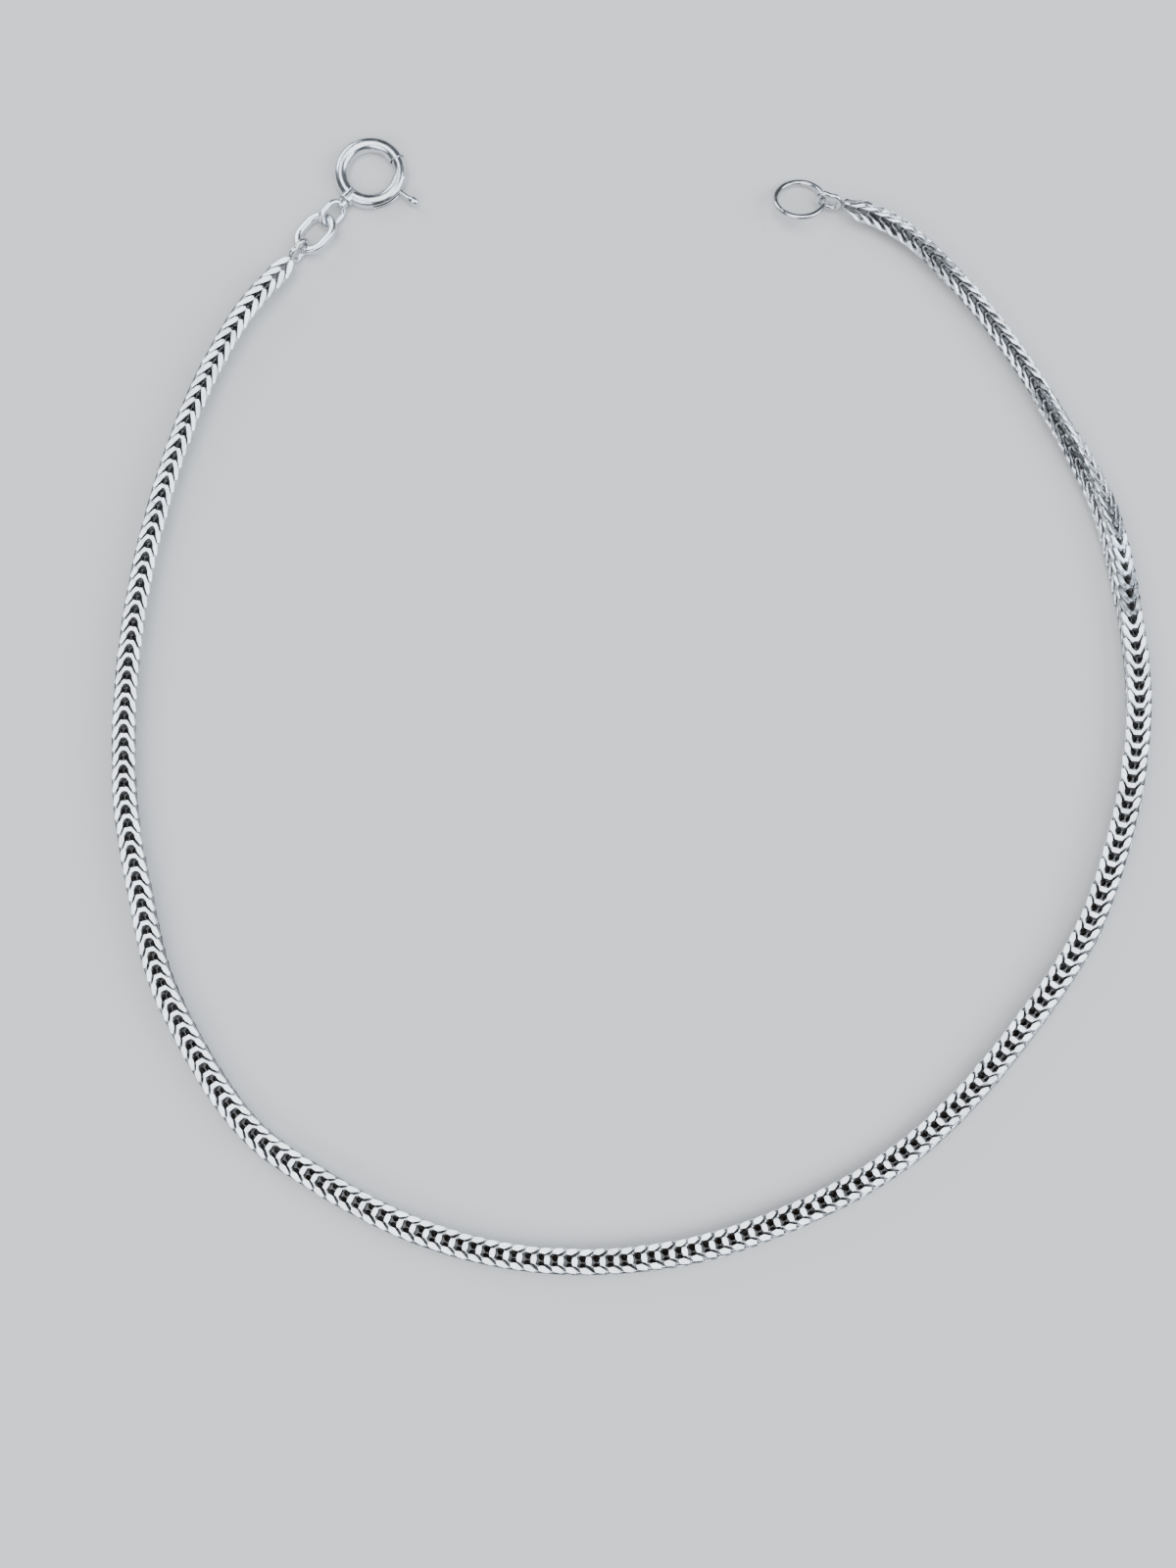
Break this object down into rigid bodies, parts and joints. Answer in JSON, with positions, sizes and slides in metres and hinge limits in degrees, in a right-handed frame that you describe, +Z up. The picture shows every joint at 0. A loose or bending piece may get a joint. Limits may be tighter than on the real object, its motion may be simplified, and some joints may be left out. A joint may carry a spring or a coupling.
{
  "type": "foxtail chain bracelet",
  "caption": "Silver foxtail chain bracelet lying open, with a spring bolt ring clasp at one end and a plain catch ring at the other.",
  "frame": {"origin": "on the surface the bracelet lies on, under the middle of its box", "axes": "+Z up from the surface, +Y from the bottom of the loop towards the clasp and the catch ring, +X from the clasp towards the catch ring"},
  "size_m": [0.0708, 0.0786, 0.0019],
  "materials": {
    "chain_silver": "silver wire, polished by tumbling, darker between the links",
    "polished_silver": "bright polished silver"
  },
  "bodies": {
    "bracelet": {"chain": "chain_silver", "clasp_end_link": "polished_silver", "clasp_jump_ring": "polished_silver", "clasp_ring": "polished_silver", "catch_end_link": "polished_silver", "catch_ring": "polished_silver"},
    "bolt": {"clasp_bolt": "polished_silver"}
  },
  "joints": [
    {"name": "bolt_slide", "type": "hinge", "parent": "bracelet", "child": "bolt", "pos_m": [-0.01827, 0.0367, 0.00052], "axis": [0, 0, 1], "range_deg": [-46, 0], "stiffness_Nm_per_rad": 0.0001, "springref_deg": 17.19}
  ]
}
